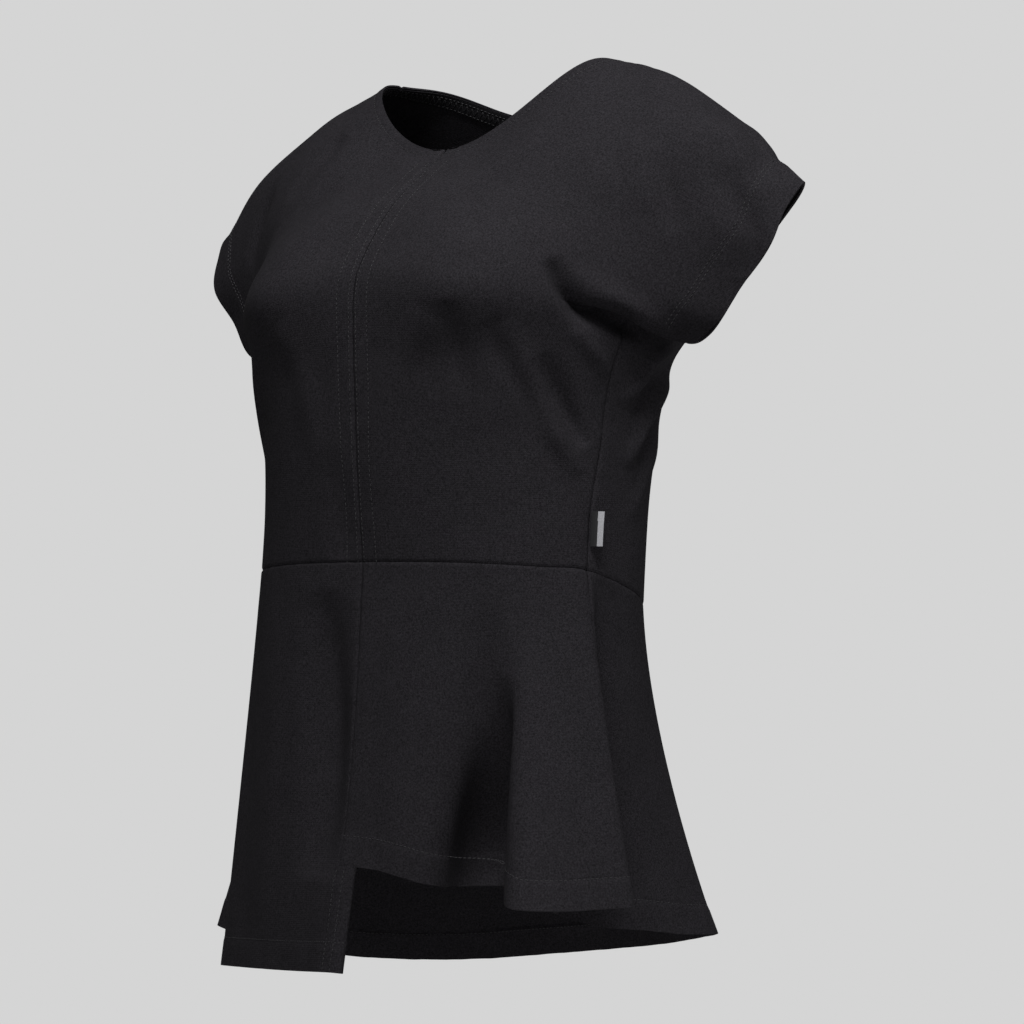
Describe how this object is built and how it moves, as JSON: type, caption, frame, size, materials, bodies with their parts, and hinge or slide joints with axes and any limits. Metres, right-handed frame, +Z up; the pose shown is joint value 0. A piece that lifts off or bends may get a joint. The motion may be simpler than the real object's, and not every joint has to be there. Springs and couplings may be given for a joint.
{
  "type": "peplum blouse",
  "caption": "Woman's jersey blouse in its worn form, open at neck, sleeves and hem, with a round neck, grown-on short sleeves and a flared peplum that steps from long to short.",
  "frame": {"origin": "midway between the two points where the neckline meets the shoulder seams, where a wearer's shoulders hold the blouse up", "axes": "+Z up, -Y the wearer's front, +X the wearer's left"},
  "size_m": [0.5122, 0.287, 0.6512],
  "materials": {
    "jersey": "matte double jersey, near black with a fine heather",
    "binding": "matte knitted band",
    "ribbon": "woven ribbon, slightly glossy"
  },
  "bodies": {
    "root": {"bodice_front_left": "jersey", "bodice_front_right": "jersey", "bodice_back": "jersey", "peplum_front_left": "jersey", "peplum_front_right": "jersey", "peplum_back": "jersey", "neck_facing": "binding", "side_label": "ribbon"}
  },
  "joints": []
}
